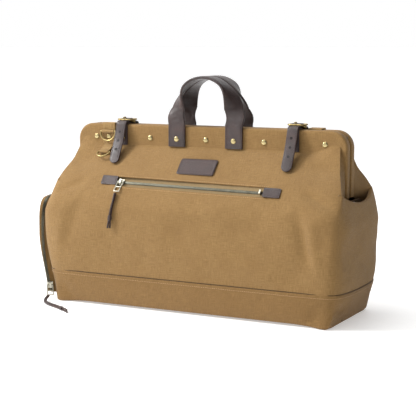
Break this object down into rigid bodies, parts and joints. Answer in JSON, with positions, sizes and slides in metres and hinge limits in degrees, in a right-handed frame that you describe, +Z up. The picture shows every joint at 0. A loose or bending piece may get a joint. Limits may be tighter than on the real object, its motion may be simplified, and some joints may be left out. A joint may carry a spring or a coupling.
{
  "type": "doctor bag",
  "caption": "Canvas doctor bag with a hinged metal frame mouth, two leather handles, buckled closure straps, a zipped front pocket and a zipped end pocket.",
  "frame": {"origin": "centre of the bag at floor level, under the middle of the boot", "axes": "+X to the right seen from the front, -Y towards the front, +Z up"},
  "size_m": [0.592, 0.2693, 0.394],
  "materials": {
    "canvas": "heavy waxed duck, plain weave, tan",
    "lining": "plain cotton twill",
    "board": "dark fibre board",
    "zip_tape": "light khaki woven tape",
    "zip_teeth": "antique metal teeth",
    "webbing": "tan cotton webbing",
    "steel": "zinc plated strip",
    "rivet_brass": "polished domed brass",
    "antique_brass": "antique brass",
    "zip_metal": "antique nickel",
    "label_leather": "embossed border, stitched",
    "leather": "dark brown bridle leather"
  },
  "bodies": {
    "bag": {"base_board": "board", "boot": "canvas", "front_wall": "canvas", "back_wall": "canvas", "left_end_wall": "canvas", "right_end_wall": "canvas", "lining": "lining", "end_boards": "board", "hinge_pins": "steel", "left_web": "canvas", "right_web": "canvas", "end_pocket_panel": "canvas", "end_zip_tape": "zip_tape", "end_zip_chain": "zip_teeth", "front_zip_tape": "zip_tape", "front_zip_chain": "zip_teeth", "front_zip_tabs": "leather", "front_zip_stop": "zip_metal", "pocket_bag": "lining"},
    "front_frame": {"front_bar": "steel", "front_sleeve": "canvas", "front_hinge_plates": "steel", "front_panel": "canvas", "front_rivets": "rivet_brass", "front_handle_tabs": "leather", "label_patch": "label_leather", "buckle_chapes": "leather", "front_webbing": "webbing"},
    "back_frame": {"back_bar": "steel", "back_sleeve": "canvas", "back_hinge_plates": "steel", "back_panel": "canvas", "back_rivets": "rivet_brass", "back_handle_tabs": "leather", "back_webbing": "webbing"},
    "front_handle": {"front_handle": "leather"},
    "back_handle": {"back_handle": "leather"},
    "left_strap": {"left_strap": "leather"},
    "right_strap": {"right_strap": "leather"},
    "left_buckle": {"left_buckle": "antique_brass"},
    "right_buckle": {"right_buckle": "antique_brass"},
    "left_prong": {"left_prong": "antique_brass"},
    "right_prong": {"right_prong": "antique_brass"},
    "front_upper_ring": {"front_upper_ring": "antique_brass"},
    "front_lower_ring": {"front_lower_ring": "antique_brass"},
    "back_upper_ring": {"back_upper_ring": "antique_brass"},
    "back_lower_ring": {"back_lower_ring": "antique_brass"},
    "front_slider": {"front_zip_slider": "zip_metal"},
    "front_pull": {"front_zip_pull": "zip_metal", "front_thong": "leather"},
    "end_slider": {"end_zip_slider": "zip_metal"},
    "end_pull": {"end_zip_pull": "zip_metal", "end_thong": "leather"}
  },
  "joints": [
    {"name": "frame_open", "type": "hinge", "parent": "bag", "child": "front_frame", "pos_m": [0, 0, 0.19], "axis": [1, 0, 0], "range_deg": [0, 35], "deforming": ["left_web", "right_web", "front_panel", "back_panel", "label_patch", "left_strap", "right_strap"]},
    {"name": "back_frame_open", "type": "hinge", "parent": "bag", "child": "back_frame", "pos_m": [0, 0, 0.19], "axis": [-1, 0, 0], "range_deg": [0, 35]},
    {"name": "front_handle_fold", "type": "hinge", "parent": "front_frame", "child": "front_handle", "pos_m": [0, -0.0225, 0.3035], "axis": [1, 0, 0], "range_deg": [0, 120]},
    {"name": "back_handle_fold", "type": "hinge", "parent": "back_frame", "child": "back_handle", "pos_m": [0, 0.0225, 0.3035], "axis": [-1, 0, 0], "range_deg": [0, 120]},
    {"name": "left_strap_lift", "type": "hinge", "parent": "back_frame", "child": "left_strap", "pos_m": [-0.162, 0.017, 0.311], "axis": [-1, 0, 0], "range_deg": [0, 110]},
    {"name": "left_buckle_turn", "type": "hinge", "parent": "front_frame", "child": "left_buckle", "pos_m": [-0.162, -0.003, 0.313], "axis": [1, 0, 0], "range_deg": [-12, 0]},
    {"name": "left_prong_lift", "type": "hinge", "parent": "left_buckle", "child": "left_prong", "pos_m": [-0.162, -0.003, 0.313], "axis": [-1, 0, 0], "range_deg": [0, 70]},
    {"name": "right_strap_lift", "type": "hinge", "parent": "back_frame", "child": "right_strap", "pos_m": [0.162, 0.017, 0.311], "axis": [-1, 0, 0], "range_deg": [0, 110]},
    {"name": "right_buckle_turn", "type": "hinge", "parent": "front_frame", "child": "right_buckle", "pos_m": [0.162, -0.003, 0.313], "axis": [1, 0, 0], "range_deg": [-12, 0]},
    {"name": "right_prong_lift", "type": "hinge", "parent": "right_buckle", "child": "right_prong", "pos_m": [0.162, -0.003, 0.313], "axis": [-1, 0, 0], "range_deg": [0, 70]},
    {"name": "front_upper_ring_swing", "type": "hinge", "parent": "front_frame", "child": "front_upper_ring", "pos_m": [-0.19008, -0.0226, 0.296], "axis": [-1, 0, 0], "range_deg": [0, 100]},
    {"name": "front_lower_ring_swing", "type": "hinge", "parent": "front_frame", "child": "front_lower_ring", "pos_m": [-0.19008, -0.03631, 0.261], "axis": [-1, 0, 0], "range_deg": [0, 60]},
    {"name": "back_upper_ring_swing", "type": "hinge", "parent": "back_frame", "child": "back_upper_ring", "pos_m": [0.19008, 0.0226, 0.296], "axis": [1, 0, 0], "range_deg": [0, 100]},
    {"name": "back_lower_ring_swing", "type": "hinge", "parent": "back_frame", "child": "back_lower_ring", "pos_m": [0.19008, 0.03631, 0.261], "axis": [1, 0, 0], "range_deg": [0, 60]},
    {"name": "front_zip_slide", "type": "slide", "parent": "bag", "child": "front_slider", "axis": [0.9998, -0.0104, -0.014], "range_m": [0, 0.25]},
    {"name": "front_pull_flip", "type": "hinge", "parent": "front_slider", "child": "front_pull", "pos_m": [-0.13498, -0.07291, 0.21525], "axis": [-0.9998, 0.0104, 0.014], "range_deg": [0, 110]},
    {"name": "end_zip_slide", "type": "slide", "parent": "bag", "child": "end_slider", "axis": [-0.1763, -0.0228, 0.9841], "range_m": [0, 0.055]},
    {"name": "end_pull_flip", "type": "hinge", "parent": "end_slider", "child": "end_pull", "pos_m": [-0.2707, -0.09157, 0.026], "axis": [-0.7681, -0.6403, 0], "range_deg": [0, 60]}
  ],
  "couplings": [
    {"joint": "back_frame_open", "follows": "frame_open", "ratio": 1}
  ]
}
